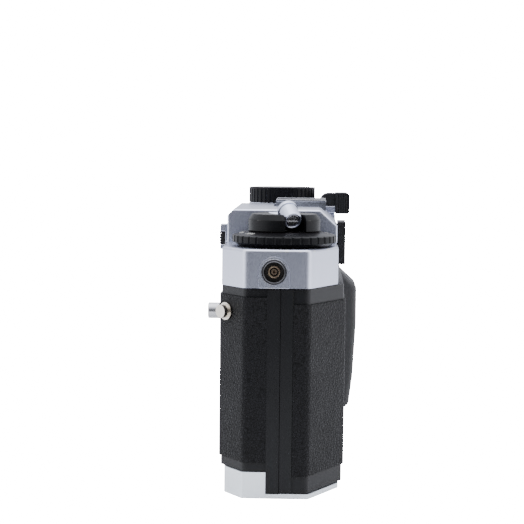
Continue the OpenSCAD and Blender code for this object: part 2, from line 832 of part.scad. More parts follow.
module advance_lever() {
    color([0.80, 0.81, 0.84]) difference() {
        union() {
            rod(lever_x, lever_y, lever_low, lever_low + lever_t, hub_r);
            translate([0, 0, lever_low]) linear_extrude(lever_t) polygon([
                [lever_x - 7, lever_y + 2], [lever_x + 1, lever_y + 15], [lever_x + 6, tip_y0],
                [tip_x1 - 1, tip_y0], [tip_x1 - 1, 10.9], [tip_x0, 10.9], [tip_x0 - 5, 9.5],
                [lever_x + 6.5, lever_y + 6.5], [lever_x + 3, lever_y]
            ]);
        }
        rod(lever_x, lever_y, lever_low - 1, lever_low + lever_t + 1, bush_r + run_gap);
    }
}

module lever_tip() {
    block_low = lever_low + lever_t;
    block_high = lever_low + tip_h - 0.2;
    block_y = tip_y0 - 5.5;
    color([0.05, 0.05, 0.06]) {
        profile_x(tip_x0, tip_x1, concat(
            [[tip_y0, lever_low - 0.2], [tip_y1 - 0.6, lever_low - 0.2], [tip_y1, lever_low + 0.4]],
            [for (a = [0:15:90]) [tip_y1 - 1.2 + 1.2 * cos(a), lever_low + tip_h - 1.2 + 1.2 * sin(a)]],
            [[tip_y0, lever_low + tip_h]]
        ));
        profile_x(tip_x0, tip_x1 - 1, concat(
            [[block_y, block_low], [tip_y0 + eps, block_low], [tip_y0 + eps, block_high]],
            [for (a = [90:15:180]) [block_y + 3 + 3 * cos(a), block_high - 3 + 3 * sin(a)]]
        ));
    }
}

module lever_cap() {
    color([0.83, 0.84, 0.87]) difference() {
        rod(lever_x, lever_y, lever_low + lever_t, lever_low + lever_t + 2, hub_r - 0.4);
        rod(lever_x, lever_y, lever_low, lever_low + lever_t + 3, bush_r + run_gap);
    }
}

module counter_window() {
    color([0.85, 0.88, 0.9, 0.4]) rod(counter_window_x, counter_y, right_deck - cover_wall,
        right_deck, counter_window_r);
}

module counter_disc() {
    color([0.1, 0.1, 0.1]) {
        rod(counter_x, counter_y, right_deck - cover_wall - 1.4, right_deck - cover_wall - 0.4, counter_r);
        rod(counter_x, counter_y, right_deck - cover_wall - 0.5, right_deck - cover_wall + 0.6,
            counter_pin_r);
    }
}

module takeup_spool() {
    color([0.12, 0.12, 0.13]) difference() {
        union() {
            rod(lever_x, lever_y, chamber_low + 0.5, chamber_high - 0.5, spool_r);
            rod(lever_x, lever_y, base_h + 0.2, casting_top - 0.5, spool_shaft_r);
            for (z = [chamber_low + 0.5, chamber_high - 1.7]) rod(lever_x, lever_y, z, z + 1.2,
                spool_r + 3);
        }
        for (a = [0:60:300]) rotate_about(lever_x, lever_y, a)
            box(spool_r - 1.2, spool_r + 1, -0.7, 0.7, chamber_low + 6, chamber_high - 6);
    }
}

module film_sprocket() {
    teeth = 8;
    color([0.20, 0.20, 0.21]) {
        rod(sprocket_x, sprocket_y, 12.4, casting_top - 3.9, sprocket_r);
        rod(sprocket_x, sprocket_y, 9.6, casting_top - 0.5, sprocket_shaft_r);
        for (side = [-1, 1], i = [0:teeth - 1]) rotate_about(sprocket_x, sprocket_y, i * 360 / teeth)
            box(sprocket_r - 0.5, sprocket_r + 1, -0.5, 0.5, lens_z + side * perforation_rows / 2 - 0.7,
                lens_z + side * perforation_rows / 2 + 0.7);
    }
}

module selector_plate() {
    face = -(cover_front - 0.2) - run_gap;
    color([0.82, 0.83, 0.86]) {
        box(selector_x - 2.8, selector_x + 2.8, face - 0.55, face, selector_low, selector_high);
        box(selector_x - 2.8, selector_x + 2.8, face - selector_out, face - 0.5,
            selector_high - 2.2, selector_high);
        box(selector_x - 2.8, selector_x + 2.8, face - selector_out, face - 0.5, selector_low,
            selector_low + 1.4);
        box(selector_x - 1, selector_x + 1, face - eps, face + 2.5, selector_low + 2.7, selector_low + 5.2);
    }
}

module selector_grip() {
    face = -(cover_front - 0.2) - run_gap - 0.55;
    rib = 0.8;
    low = selector_low + 1.4;
    ribs = 5;
    pitch = (selector_high - 2.2 - low) / ribs;
    color([0.06, 0.06, 0.07]) {
        box(selector_x - 2.6, selector_x + 2.6, face - 1, face, low, selector_high - 2.2);
        for (i = [0:ribs - 1]) box(selector_x - 2.6, selector_x + 2.6, face - 1 - rib, face - 0.9,
            low + i * pitch + 0.15, low + (i + 1) * pitch - 0.15);
    }
}

module lens_release_button() {
    color([0.80, 0.80, 0.81]) rod_y(release_x, release_z, -front_depth - release_out, -15.5, release_r);
}

module battery_cells() {
    color([0.75, 0.76, 0.78]) for (i = [0:1])
        rod(battery_x, battery_y, base_h + i * battery_cell_h,
            base_h + (i + 1) * battery_cell_h - 0.1, battery_r);
}

module battery_cap() {
    color([0.83, 0.86, 0.89]) difference() {
        union() {
            rod(battery_x, battery_y, 0.1, cap_flange_t, cap_r);
            rod(battery_x, battery_y, cap_flange_t - eps, base_h - 0.2, battery_hole_r - 0.3);
        }
        box(battery_x - 5, battery_x + 5, battery_y - 0.7, battery_y + 0.7, 0, 0.8);
    }
}

module rewind_release() {
    color([0.75, 0.76, 0.78]) rod(sprocket_x, sprocket_y, 0.3, 7.6, rewind_release_r);
}

module hinge_pin() {
    color([0.7, 0.7, 0.72]) rod(hinge_x, hinge_y, ear_low, ear_high, hinge_pin_r);
}

module back_door() {
    color([0.11, 0.11, 0.12]) {
        difference() {
            union() {
                body_slab(0, door_low, door_high, parting_y + panel_gap, door_leather_y);
                body_slab(leather_t, door_low, door_high, door_leather_y - eps, back_depth);
                rod(hinge_x, hinge_y, ear_low + ear_h + 0.4, ear_high - ear_h - 0.4, hinge_r);
            }
            difference() {
                body_slab(leather_t + door_wall, door_low - 1, door_high + 1, -5, back_depth);
                box(-half_w, half_w, flange_y, back_depth, door_low, door_low + door_wall);
                box(-half_w, half_w, flange_y, back_depth, door_high - door_wall, door_high);
                rod(hinge_x, hinge_y, ear_low + ear_h + 0.4, ear_high - ear_h - 0.4, hinge_r);
            }
            difference() {
                box(-half_w - 1, hinge_x + 10, -5, hinge_y, 0, casting_top);
                rod(hinge_x, hinge_y, 0, casting_top, hinge_r);
            }
            box(-half_w - 1, hinge_x + 2.6, -5, hinge_y + 2.9, 0, ear_low + ear_h + 0.4);
            box(-half_w - 1, hinge_x + 2.6, -5, hinge_y + 2.9, ear_high - ear_h - 0.4, casting_top);
            rod(hinge_x, hinge_y, 0, casting_top, hinge_pin_r + run_gap);
        }
        for (x = [plate_x0 + 12, plate_x1 - 12])
            rod_y(x, lens_z, plate_front + 2.5, back_depth - leather_t - door_wall + eps, guide_r);
    }
}

module door_leather() {
    color([0.16, 0.16, 0.18]) difference() {
        body_slab(0, door_leather_low, door_leather_high, door_leather_y, back_depth + 1);
        body_slab(leather_t, 0, casting_top, 0, back_depth);
        box(-half_w - 1, hinge_x + 4, -5, hinge_y + 3.2, 0, casting_top);
        box(thumb_x - thumb_w / 2, thumb_x + thumb_w / 2, back_depth - 2, back_depth + 1,
            thumb_low, thumb_high);
    }
}

module thumb_rest() {
    foot = back_depth - leather_t;
    out = back_depth + thumb_out;
    color([0.15, 0.15, 0.17]) profile_x(thumb_x - thumb_w / 2, thumb_x + thumb_w / 2, [
        [foot, thumb_low], [out - 2.3, thumb_low + 1.3], [out - 1, thumb_low + 12], [out,
            thumb_high - 19.5],
        [out, thumb_high - 5.7], [foot, thumb_high]
    ]);
}

module pressure_plate() {
    color([0.10, 0.10, 0.11]) difference() {
        union() {
            box(plate_x0, plate_x1, plate_front, plate_front + plate_t, lens_z - plate_half_h,
                lens_z + plate_half_h);
            for (x = [plate_x0 + 12, plate_x1 - 12])
                rod_y(x, lens_z, plate_front + plate_t - eps, plate_front + 4.5, guide_boss_r);
        }
        for (x = [plate_x0 + 12, plate_x1 - 12])
            rod_y(x, lens_z, plate_front + plate_t, plate_front + 8, guide_r + run_gap);
    }
}

body_casting();
front_leather();
top_cover();
base_cover();
film_gate();
shutter_frame();
lens_mount_ring();
mount_screws();
finder_block();
finder_window();
illumination_window();
rangefinder_window();
eyepiece_frame();
eyepiece_lens();
hot_shoe();
shoe_contact();
shoe_spring();
pc_collar();
pc_insulator();
pc_shell();
pc_pin();
strap_lug(1);  // strap_lug_near
strap_lug(-1);  // strap_lug_far
tripod_bush();
base_screws();
rewind_boss();
dial_collar();
release_bush();
counter_window();
hinge_pin();
battery_cells();
rewind_collar();
rewind_knob();
rewind_shaft();
crank_pin();
crank_arm();
crank_screw();
crank_handle();
film_speed_ring();
shutter_dial();
release_button();
advance_lever();
lever_tip();
lever_cap();
takeup_spool();
film_sprocket();
counter_disc();
selector_plate();
selector_grip();
lens_release_button();
battery_cap();
rewind_release();
back_door();
door_leather();
thumb_rest();
pressure_plate();
shutter_blade(0);  // shutter_blade_1
shutter_blade(1);  // shutter_blade_2
shutter_blade(2);  // shutter_blade_3
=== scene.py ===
import bpy
import json
import math
from mathutils import Matrix, Vector


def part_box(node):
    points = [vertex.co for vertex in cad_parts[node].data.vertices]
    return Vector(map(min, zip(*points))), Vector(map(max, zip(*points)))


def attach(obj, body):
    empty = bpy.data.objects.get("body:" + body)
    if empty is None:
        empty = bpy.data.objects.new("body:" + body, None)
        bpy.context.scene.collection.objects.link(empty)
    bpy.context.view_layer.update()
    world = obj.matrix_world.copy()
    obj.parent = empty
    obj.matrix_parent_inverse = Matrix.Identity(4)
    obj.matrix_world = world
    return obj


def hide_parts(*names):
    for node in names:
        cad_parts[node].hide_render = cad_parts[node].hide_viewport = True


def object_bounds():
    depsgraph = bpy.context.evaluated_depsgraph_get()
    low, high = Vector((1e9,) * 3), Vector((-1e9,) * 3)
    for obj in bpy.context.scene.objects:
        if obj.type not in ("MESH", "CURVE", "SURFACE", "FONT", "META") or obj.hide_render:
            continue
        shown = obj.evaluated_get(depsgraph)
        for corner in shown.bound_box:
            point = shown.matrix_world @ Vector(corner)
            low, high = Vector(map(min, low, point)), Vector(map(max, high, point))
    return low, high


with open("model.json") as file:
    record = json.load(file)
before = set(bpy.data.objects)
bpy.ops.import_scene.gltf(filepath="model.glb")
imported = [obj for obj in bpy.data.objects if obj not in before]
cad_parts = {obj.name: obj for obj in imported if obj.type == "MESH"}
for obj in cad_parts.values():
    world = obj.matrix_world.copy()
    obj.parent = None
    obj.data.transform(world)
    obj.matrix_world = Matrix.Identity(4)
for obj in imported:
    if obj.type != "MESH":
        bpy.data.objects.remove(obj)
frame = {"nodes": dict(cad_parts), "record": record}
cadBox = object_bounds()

mm = 0.001
record = frame["record"]
bodyOfNode = {n: body for body, nodes in record["behaviour"]["bodies"].items() for n in nodes}
slotOfNode = {s["node"]: s["material_slot"] for s in record["subparts"]}


# camera, light and floor

view = {
    "eye": (483.0, 7.7, 101.1), "aim": (-1.0, -0.0331, -0.0773), "lens": 99.55, "rollDegrees": 0.6,
}
studio = {
    "sidePower": 2.5, "topPower": 3.5, "floorColor": (0.93, 0.93, 0.93), "around": 1.25,
    "behindCamera": 0.22, "overhead": 2.6, "backdrop": 30.0, "floorGlow": 29.0, "floorEnd": 0.22,
    "floorSize": 6, "coolTint": (0.96, 0.98, 1.06), "shadowTint": (1.0, 1.03, 1.10),
    "lights": {
        "leftSoftbox": ((0.25, -0.9, 0.35), 0.9, "sidePower"),
        "rightSoftbox": ((0.15, 0.9, 0.40), 0.9, "sidePower"),
        "topSoftbox": ((0.1, 0.0, 1.0), 1.0, "topPower"),
    },
}


def placeCamera():
    bpy.ops.object.camera_add(location=[v * mm for v in view["eye"]])
    camera = bpy.context.object
    camera.name = "studioCamera"
    turn = Vector(view["aim"]).to_track_quat("-Z", "Y")
    roll = Matrix.Rotation(math.radians(view["rollDegrees"]), 4, "Z")
    camera.rotation_euler = (turn.to_matrix().to_4x4() @ roll).to_euler()
    camera.data.lens = view["lens"]
    camera.data.sensor_width = 36
    camera.data.clip_start = 0.01
    bpy.context.scene.camera = camera


def softLight(name, place, target, size, power):
    bpy.ops.object.light_add(type="AREA", location=place)
    light = bpy.context.object
    light.name = name
    light.rotation_euler = (Vector(target) - Vector(place)).to_track_quat("-Z", "Y").to_euler()
    light.data.size = size
    light.data.energy = power


def tinted(level, tint):
    return (*[level * part for part in tint], 1)


def setStudio():
    for name, (place, size, power) in studio["lights"].items():
        softLight(name, place, (0, 0, 0.05), size, studio[power])
    world = bpy.data.worlds.new("studioWorld")
    bpy.context.scene.world = world
    world.use_nodes = True
    nodes, links = world.node_tree.nodes, world.node_tree.links
    sky = nodes["Background"]
    coords = nodes.new("ShaderNodeTexCoord")
    split = nodes.new("ShaderNodeSeparateXYZ")
    ramp = nodes.new("ShaderNodeValToRGB")
    seen = nodes.new("ShaderNodeLightPath")
    room = nodes.new("ShaderNodeMix")
    room.data_type = "RGBA"
    ramp.color_ramp.elements[0].position = 0.20
    ramp.color_ramp.elements[0].color = tinted(studio["around"], studio["coolTint"])
    ramp.color_ramp.elements[1].position = 0.85
    ramp.color_ramp.elements[1].color = tinted(studio["behindCamera"], studio["shadowTint"])
    upward = nodes.new("ShaderNodeMapRange")
    upward.inputs["From Min"].default_value = 0.35
    upward.inputs["From Max"].default_value = 0.95
    ceiling = nodes.new("ShaderNodeMix")
    ceiling.data_type = "RGBA"
    ceiling.inputs["B"].default_value = tinted(studio["overhead"], studio["coolTint"])
    links.new(coords.outputs["Generated"], split.inputs[0])
    links.new(split.outputs["X"], ramp.inputs[0])
    links.new(split.outputs["Z"], upward.inputs["Value"])
    links.new(upward.outputs["Result"], ceiling.inputs["Factor"])
    links.new(ramp.outputs["Color"], ceiling.inputs["A"])
    links.new(seen.outputs["Is Camera Ray"], room.inputs["Factor"])
    links.new(ceiling.outputs["Result"], room.inputs["A"])
    room.inputs["B"].default_value = (studio["backdrop"],) * 3 + (1,)
    links.new(room.outputs["Result"], sky.inputs["Color"])


def layFloor():
    middleX = studio["floorEnd"] - studio["floorSize"] / 2
    bpy.ops.mesh.primitive_plane_add(size=studio["floorSize"], location=(middleX, 0, cadBox[0][2]))
    floor = bpy.context.object
    floor.name = "studioFloor"
    paint = bpy.data.materials.new("palePaper")
    paint.use_nodes = True
    nodes, links = paint.node_tree.nodes, paint.node_tree.links
    shader = nodes["Principled BSDF"]
    shader.inputs["Base Color"].default_value = (*studio["floorColor"], 1)
    shader.inputs["Roughness"].default_value = 0.7
    shader.inputs["Emission Color"].default_value = (1, 1, 1, 1)
    seen = nodes.new("ShaderNodeLightPath")
    glow = nodes.new("ShaderNodeMath")
    glow.operation = "MULTIPLY"
    glow.inputs[1].default_value = studio["floorGlow"]
    links.new(seen.outputs["Is Camera Ray"], glow.inputs[0])
    links.new(glow.outputs[0], shader.inputs["Emission Strength"])
    floor.data.materials.append(paint)


placeCamera()
setStudio()
layFloor()
print("stage set")


# shader groups shared by several finishes

def newGroup(name, inputs, outputs):
    group = bpy.data.node_groups.new(name, "ShaderNodeTree")
    for label, kind, value in inputs:
        socket = group.interface.new_socket(label, in_out="INPUT", socket_type=kind)
        if value is not None:
            socket.default_value = value
    for label, kind in outputs:
        group.interface.new_socket(label, in_out="OUTPUT", socket_type=kind)
    return group, group.nodes.new("NodeGroupInput"), group.nodes.new("NodeGroupOutput")


def makeSurfaceGroup():
    # fine grain height, slow smudges and a broken mask of wear
    group, given, out = newGroup(
        "surfaceDetail",
        [("Vector", "NodeSocketVector", None), ("Grain Scale", "NodeSocketFloat", 6000.0),
         ("Smudge Scale", "NodeSocketFloat", 60.0), ("Wear", "NodeSocketFloat", 0.0)],
        [("Grain", "NodeSocketFloat"), ("Smudge", "NodeSocketFloat"), ("Worn", "NodeSocketFloat")],
    )
    nodes, links = group.nodes, group.links
    grain = nodes.new("ShaderNodeTexNoise")
    grain.inputs["Detail"].default_value = 4
    smudge = nodes.new("ShaderNodeTexNoise")
    smudge.inputs["Detail"].default_value = 6
    smudge.inputs["Distortion"].default_value = 0.6
    patches = nodes.new("ShaderNodeTexNoise")
    patches.inputs["Scale"].default_value = 380
    patches.inputs["Detail"].default_value = 5
    threshold = nodes.new("ShaderNodeMath")
    threshold.operation = "SUBTRACT"
    threshold.inputs[0].default_value = 1
    soft = nodes.new("ShaderNodeMath")
    soft.operation = "ADD"
    soft.inputs[1].default_value = 0.12
    mask = nodes.new("ShaderNodeMapRange")
    links.new(given.outputs["Vector"], grain.inputs["Vector"])
    links.new(given.outputs["Grain Scale"], grain.inputs["Scale"])
    links.new(given.outputs["Vector"], smudge.inputs["Vector"])
    links.new(given.outputs["Smudge Scale"], smudge.inputs["Scale"])
    links.new(given.outputs["Vector"], patches.inputs["Vector"])
    links.new(given.outputs["Wear"], threshold.inputs[1])
    links.new(threshold.outputs[0], soft.inputs[0])
    links.new(patches.outputs["Fac"], mask.inputs["Value"])
    links.new(threshold.outputs[0], mask.inputs["From Min"])
    links.new(soft.outputs[0], mask.inputs["From Max"])
    links.new(grain.outputs["Fac"], out.inputs["Grain"])
    links.new(smudge.outputs["Fac"], out.inputs["Smudge"])
    links.new(mask.outputs["Result"], out.inputs["Worn"])
    return group


def makePebbleGroup():
    # rounded pebbles of several sizes with creases between them; the crease mask also goes out for painted
    # shade in the creases
    group, given, out = newGroup(
        "pebbleGrain",
        [("Vector", "NodeSocketVector", None), ("Pebble Scale", "NodeSocketFloat", 900.0),
         ("Wander", "NodeSocketFloat", 0.0006)],
        [("Height", "NodeSocketFloat"), ("Crease Shade", "NodeSocketFloat"), ("Patch", "NodeSocketFloat")],
    )
    nodes, links = group.nodes, group.links
    drift = nodes.new("ShaderNodeTexNoise")
    drift.inputs["Scale"].default_value = 420
    drift.inputs["Detail"].default_value = 3
    centred = nodes.new("ShaderNodeVectorMath")
    centred.operation = "SUBTRACT"
    centred.inputs[1].default_value = (0.5, 0.5, 0.5)
    scaled = nodes.new("ShaderNodeVectorMath")
    scaled.operation = "SCALE"
    moved = nodes.new("ShaderNodeVectorMath")
    moved.operation = "ADD"
    pebbles = nodes.new("ShaderNodeTexVoronoi")
    pebbles.feature = "SMOOTH_F1"
    pebbles.inputs["Smoothness"].default_value = 0.35
    cracks = nodes.new("ShaderNodeTexVoronoi")
    cracks.feature = "DISTANCE_TO_EDGE"
    creaseShade = nodes.new("ShaderNodeMapRange")
    creaseShade.inputs["From Max"].default_value = 0.16
    fine = nodes.new("ShaderNodeTexNoise")
    fine.inputs["Scale"].default_value = 5200
    fine.inputs["Detail"].default_value = 3
    patch = nodes.new("ShaderNodeTexNoise")
    patch.inputs["Scale"].default_value = 90
    dome = nodes.new("ShaderNodeMath")
    dome.operation = "SUBTRACT"
    dome.inputs[0].default_value = 1
    tall = nodes.new("ShaderNodeMath")
    tall.operation = "MULTIPLY"
    total = nodes.new("ShaderNodeMath")
    total.operation = "MULTIPLY_ADD"
    total.inputs[1].default_value = 0.12
    links.new(given.outputs["Vector"], drift.inputs["Vector"])
    links.new(drift.outputs["Color"], centred.inputs[0])
    links.new(centred.outputs[0], scaled.inputs[0])
    links.new(given.outputs["Wander"], scaled.inputs["Scale"])
    links.new(given.outputs["Vector"], moved.inputs[0])
    links.new(scaled.outputs[0], moved.inputs[1])
    for texture in (pebbles, cracks):
        links.new(moved.outputs[0], texture.inputs["Vector"])
        links.new(given.outputs["Pebble Scale"], texture.inputs["Scale"])
    links.new(given.outputs["Vector"], fine.inputs["Vector"])
    links.new(given.outputs["Vector"], patch.inputs["Vector"])
    links.new(cracks.outputs["Distance"], creaseShade.inputs["Value"])
    links.new(pebbles.outputs["Distance"], dome.inputs[1])
    links.new(dome.outputs[0], tall.inputs[0])
    links.new(creaseShade.outputs["Result"], tall.inputs[1])
    links.new(fine.outputs["Fac"], total.inputs[0])
    links.new(tall.outputs[0], total.inputs[2])
    links.new(total.outputs[0], out.inputs["Height"])
    links.new(creaseShade.outputs["Result"], out.inputs["Crease Shade"])
    links.new(patch.outputs["Fac"], out.inputs["Patch"])
    return group


surfaceGroup = makeSurfaceGroup()
pebbleGroup = makePebbleGroup()


# finishes

def newFinish(name, settings):
    material = bpy.data.materials.new(name)
    material.use_nodes = True
    nodes, links = material.node_tree.nodes, material.node_tree.links
    shader = nodes["Principled BSDF"]
    for socket in ("Metallic", "Roughness", "IOR", "Coat Weight", "Coat Roughness", "Specular IOR Level"):
        if socket in settings:
            shader.inputs[socket].default_value = settings[socket]
    coords = nodes.new("ShaderNodeTexCoord")
    return material, nodes, links, shader, coords


def mixColors(nodes, links, factor, first, second):
    mix = nodes.new("ShaderNodeMix")
    mix.data_type = "RGBA"
    if isinstance(first, tuple):
        mix.inputs["A"].default_value = (*first, 1)
    else:
        links.new(first, mix.inputs["A"])
    mix.inputs["B"].default_value = (*second, 1)
    links.new(factor, mix.inputs["Factor"])
    return mix.outputs["Result"]


def addBump(nodes, links, shader, height, distance, strength):
    bump = nodes.new("ShaderNodeBump")
    bump.inputs["Distance"].default_value = distance
    bump.inputs["Strength"].default_value = strength
    links.new(height, bump.inputs["Height"])
    links.new(bump.outputs["Normal"], shader.inputs["Normal"])


def roughnessFrom(nodes, links, shader, value, low, high):
    spread = nodes.new("ShaderNodeMapRange")
    spread.inputs["To Min"].default_value = low
    spread.inputs["To Max"].default_value = high
    links.new(value, spread.inputs["Value"])
    links.new(spread.outputs["Result"], shader.inputs["Roughness"])


def coatedFinish(name, settings):
    # plated, painted or moulded surface: grain, smudges and worn edges
    material, nodes, links, shader, coords = newFinish(name, settings)
    detail = nodes.new("ShaderNodeGroup")
    detail.node_tree = surfaceGroup
    detail.inputs["Grain Scale"].default_value = settings["grain"]
    detail.inputs["Smudge Scale"].default_value = settings["smudge"]
    detail.inputs["Wear"].default_value = settings["worn"]
    links.new(coords.outputs["Object"], detail.inputs["Vector"])
    tint = mixColors(nodes, links, detail.outputs["Smudge"], settings["color"], settings["shade"])
    worn = mixColors(nodes, links, detail.outputs["Worn"], tint, settings["wear"])
    links.new(worn, shader.inputs["Base Color"])
    roughnessFrom(nodes, links, shader, detail.outputs["Smudge"], settings["Roughness"] - settings["spread"],
                  settings["Roughness"] + settings["spread"])
    addBump(nodes, links, shader, detail.outputs["Grain"], settings["depth"], settings["bump"])
    return material


def leatherFinish(name, settings):
    material, nodes, links, shader, coords = newFinish(name, settings)
    pebble = nodes.new("ShaderNodeGroup")
    pebble.node_tree = pebbleGroup
    pebble.inputs["Pebble Scale"].default_value = settings["pebbles"]
    pebble.inputs["Wander"].default_value = settings["wander"]
    links.new(coords.outputs["Object"], pebble.inputs["Vector"])
    body = mixColors(nodes, links, pebble.outputs["Patch"], settings["color"], settings["shade"])
    # the creases between pebbles are darkened towards near black: painted shade in the grain's hollows
    creaseShadeMix = nodes.new("ShaderNodeMix")
    creaseShadeMix.data_type = "RGBA"
    creaseShadeMix.inputs["A"].default_value = (*settings["creaseShade"], 1)
    links.new(body, creaseShadeMix.inputs["B"])
    links.new(pebble.outputs["Crease Shade"], creaseShadeMix.inputs["Factor"])
    links.new(creaseShadeMix.outputs["Result"], shader.inputs["Base Color"])
    roughnessFrom(nodes, links, shader, pebble.outputs["Patch"], settings["Roughness"] - settings["spread"],
                  settings["Roughness"] + settings["spread"])
    addBump(nodes, links, shader, pebble.outputs["Height"], settings["depth"], settings["bump"])
    return material


def glassFinish(name, settings):
    material, nodes, links, shader, coords = newFinish(name, settings)
    smear = nodes.new("ShaderNodeTexNoise")
    smear.inputs["Scale"].default_value = settings["smear"]
    links.new(coords.outputs["Object"], smear.inputs["Vector"])
    tint = mixColors(nodes, links, smear.outputs["Fac"], settings["color"], settings["shade"])
    links.new(tint, shader.inputs["Base Color"])
    roughnessFrom(nodes, links, shader, smear.outputs["Fac"], settings["Roughness"],
                  settings["Roughness"] + settings["spread"])
    shader.inputs["Transmission Weight"].default_value = settings["clear"]
    return material


finishSettings = {
    "satin_silver": {
        "made": coatedFinish, "name": "satinSilver", "color": (0.70, 0.73, 0.86),
        "shade": (0.64, 0.67, 0.80), "wear": (0.80, 0.80, 0.84), "Metallic": 1.0, "Roughness": 0.30,
        "spread": 0.03, "grain": 9000, "smudge": 45, "worn": 0.26, "depth": 0.00001, "bump": 0.25,
    },
    # the base plate's silver is set near white, brighter than the top cover's: a painted reflection standing
    # in for the extra light it catches
    "base_silver": {
        "made": coatedFinish, "name": "baseSilver", "color": (0.92, 0.97, 1.00),
        "shade": (0.86, 0.92, 0.97), "wear": (0.85, 0.86, 0.88), "Metallic": 1.0, "Roughness": 0.34,
        "spread": 0.03, "grain": 9000, "smudge": 45, "worn": 0.26, "depth": 0.00001, "bump": 0.25,
    },
    "black_paint": {
        "made": coatedFinish, "name": "blackPaint", "color": (0.007, 0.007, 0.008),
        "shade": (0.010, 0.010, 0.011), "wear": (0.12, 0.11, 0.09), "Metallic": 0.0,
        "Roughness": 0.38, "spread": 0.05, "grain": 5200, "smudge": 70, "worn": 0.26,
        "depth": 0.00002, "bump": 0.35, "Specular IOR Level": 0.2,
    },
    "black_anodised": {
        "made": coatedFinish, "name": "blackAnodised", "color": (0.004, 0.004, 0.005),
        "shade": (0.006, 0.006, 0.007), "wear": (0.14, 0.13, 0.12), "Metallic": 0.0,
        "Roughness": 0.36, "spread": 0.05, "grain": 7000, "smudge": 90, "worn": 0.26,
        "depth": 0.00001, "bump": 0.3, "Specular IOR Level": 0.14,
    },
    "black_plastic": {
        "made": coatedFinish, "name": "blackPlastic", "color": (0.013, 0.013, 0.014),
        "shade": (0.018, 0.018, 0.019), "wear": (0.05, 0.05, 0.05), "Metallic": 0.0,
        "Roughness": 0.45, "spread": 0.06, "grain": 4200, "smudge": 120, "worn": 0.26,
        "depth": 0.00003, "bump": 0.4, "Specular IOR Level": 0.2,
    },
    "bare_steel": {
        "made": coatedFinish, "name": "bareSteel", "color": (0.62, 0.62, 0.63),
        "shade": (0.52, 0.52, 0.54), "wear": (0.70, 0.70, 0.70), "Metallic": 1.0, "Roughness": 0.26,
        "spread": 0.05, "grain": 8000, "smudge": 150, "worn": 0.26, "depth": 0.00001, "bump": 0.3,
    },
    "nickel": {
        "made": coatedFinish, "name": "warmNickel", "color": (0.74, 0.70, 0.63),
        "shade": (0.62, 0.57, 0.50), "wear": (0.50, 0.42, 0.30), "Metallic": 1.0, "Roughness": 0.24,
        "spread": 0.06, "grain": 8000, "smudge": 300, "worn": 0.26, "depth": 0.00001, "bump": 0.3,
    },
    "brass": {
        "made": coatedFinish, "name": "dullBrass", "color": (0.33, 0.26, 0.19),
        "shade": (0.20, 0.14, 0.10), "wear": (0.55, 0.45, 0.30), "Metallic": 1.0, "Roughness": 0.34,
        "spread": 0.08, "grain": 8000, "smudge": 600, "worn": 0.26, "depth": 0.00001, "bump": 0.3,
    },
    "insulator": {
        "made": coatedFinish, "name": "blackInsulator", "color": (0.018, 0.015, 0.014),
        "shade": (0.026, 0.022, 0.020), "wear": (0.05, 0.05, 0.05), "Metallic": 0.0,
        "Roughness": 0.30, "spread": 0.05, "grain": 6000, "smudge": 400, "worn": 0.26,
        "depth": 0.00001, "bump": 0.2,
    },
    "blade_metal": {
        "made": coatedFinish, "name": "bladeMetal", "color": (0.060, 0.060, 0.064),
        "shade": (0.045, 0.045, 0.048), "wear": (0.2, 0.2, 0.2), "Metallic": 0.6, "Roughness": 0.42,
        "spread": 0.04, "grain": 9000, "smudge": 200, "worn": 0.26, "depth": 0.00001, "bump": 0.2,
    },
    "leather": {
        "made": leatherFinish, "name": "pebbledLeather", "color": (0.012, 0.012, 0.014),
        "shade": (0.008, 0.008, 0.009), "creaseShade": (0.003, 0.003, 0.003), "Metallic": 0.0,
        "Roughness": 0.50, "spread": 0.06, "pebbles": 1100, "wander": 0.0007, "depth": 0.00022,
        "bump": 1.0, "Specular IOR Level": 0.12,
    },
    "glass": {
        "made": glassFinish, "name": "coatedGlass", "color": (0.80, 0.86, 0.92),
        "shade": (0.70, 0.78, 0.88), "Metallic": 0.0, "Roughness": 0.02, "spread": 0.03,
        "smear": 200, "clear": 1.0, "IOR": 1.5,
    },
    "frosted": {
        "made": glassFinish, "name": "frostedWindow", "color": (0.90, 0.92, 0.95),
        "shade": (0.84, 0.87, 0.90), "Metallic": 0.0, "Roughness": 0.45, "spread": 0.10,
        "smear": 900, "clear": 0.6, "IOR": 1.49,
    },
}
# the accessory shoe takes two copies of its chrome: a darkened one for its body, painted shade, and a
# near-white one for its bevelled lip edges, painted highlight
finishSettings["shoeChrome"] = {
    **finishSettings["bare_steel"], "name": "shoeChrome", "color": (0.36, 0.37, 0.40),
    "shade": (0.30, 0.31, 0.34), "Roughness": 0.22,
}
finishSettings["shoeLips"] = {
    **finishSettings["bare_steel"], "name": "shoeLips", "color": (0.92, 0.93, 0.97),
    "shade": (0.86, 0.87, 0.92), "Roughness": 0.3,
}
# a darkened copy of the nickel for the sync collar: painted shade on its body
finishSettings["darkNickel"] = {
    **finishSettings["nickel"], "name": "darkNickel", "color": (0.17, 0.17, 0.18),
    "shade": (0.12, 0.12, 0.13), "Roughness": 0.3,
}
# a lighter grey copy of the black plastic for the thumb rest: painted sheen for the light along its side
finishSettings["thumbRubber"] = {
    **finishSettings["black_plastic"], "name": "thumbRubber", "color": (0.062, 0.062, 0.064),
    "shade": (0.074, 0.074, 0.076), "Roughness": 0.55, "grain": 2600, "depth": 0.00006,
}
finishSettings["cast_alloy"] = {**finishSettings["black_paint"], "name": "paintedAlloy"}
edgeWear = {
    "satin_silver": 0.48, "base_silver": 0.50, "black_paint": 0.50, "cast_alloy": 0.46,
    "black_anodised": 0.40, "black_plastic": 0.44, "nickel": 0.52, "brass": 0.50,
    "bare_steel": 0.50,
}

